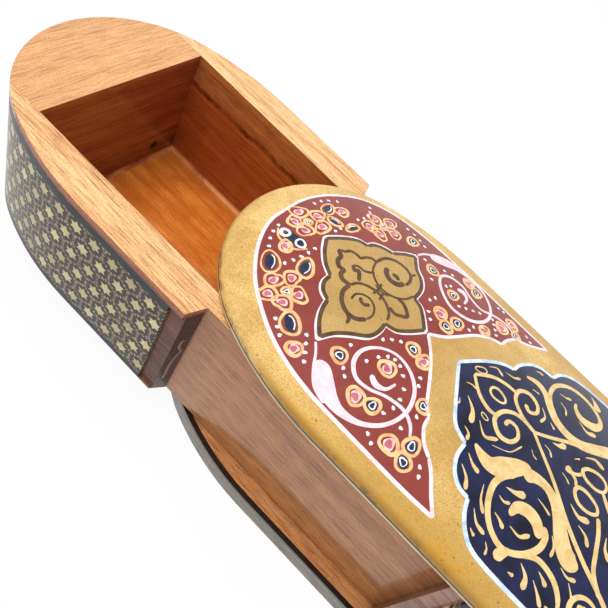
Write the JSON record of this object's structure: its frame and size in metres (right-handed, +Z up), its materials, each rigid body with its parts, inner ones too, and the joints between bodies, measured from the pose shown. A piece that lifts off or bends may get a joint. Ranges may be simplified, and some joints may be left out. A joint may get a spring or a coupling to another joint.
{
  "type": "pen box",
  "caption": "Rounded wooden pen box: marquetry sides under a crowned painted cover, with a half-round-nosed tray that slides out of its open end.",
  "frame": {"origin": "middle of the case's underside, on the surface it rests on", "axes": "+X along the case from its open end to its closed end, +Y across it, +Z up"},
  "size_m": [0.3005, 0.0632, 0.0487],
  "materials": {
    "case_wood": "semi-gloss lacquered dark reddish-brown wood",
    "edge_band": "satin grey-brown wood strip",
    "black_line": "satin black-stained wood line",
    "marquetry": "glossy lacquered star marquetry of cream, slate and brown wood",
    "dark_border": "glossy slate-stained wood strip",
    "painted_cover": "gloss varnish over painted and gilded ornament on wood",
    "pale_line": "satin pale wood line",
    "tray_wood": "glossy lacquered orange-brown wood"
  },
  "bodies": {
    "case": {"base_board": "case_wood", "base_edge_band": "edge_band", "base_edge_line": "black_line", "case_wall_front": "case_wood", "case_wall_back": "case_wood", "case_end_block": "case_wood", "case_marquetry_front": "marquetry", "case_marquetry_back": "marquetry", "case_marquetry_end": "marquetry", "case_border_top": "dark_border", "case_border_bottom": "dark_border", "cover_board": "painted_cover", "cover_edge_pale": "pale_line", "cover_edge_dark": "black_line"},
    "tray": {"tray_side_front": "tray_wood", "tray_side_back": "tray_wood", "tray_nose_block": "tray_wood", "tray_floor": "tray_wood", "tray_rear_wall": "tray_wood", "nose_marquetry": "marquetry", "nose_border_top": "dark_border", "nose_border_bottom": "dark_border"}
  },
  "joints": [
    {"name": "tray_slide", "type": "slide", "parent": "case", "child": "tray", "axis": [-1, 0, 0], "range_m": [-0.0652, 0.06]}
  ]
}
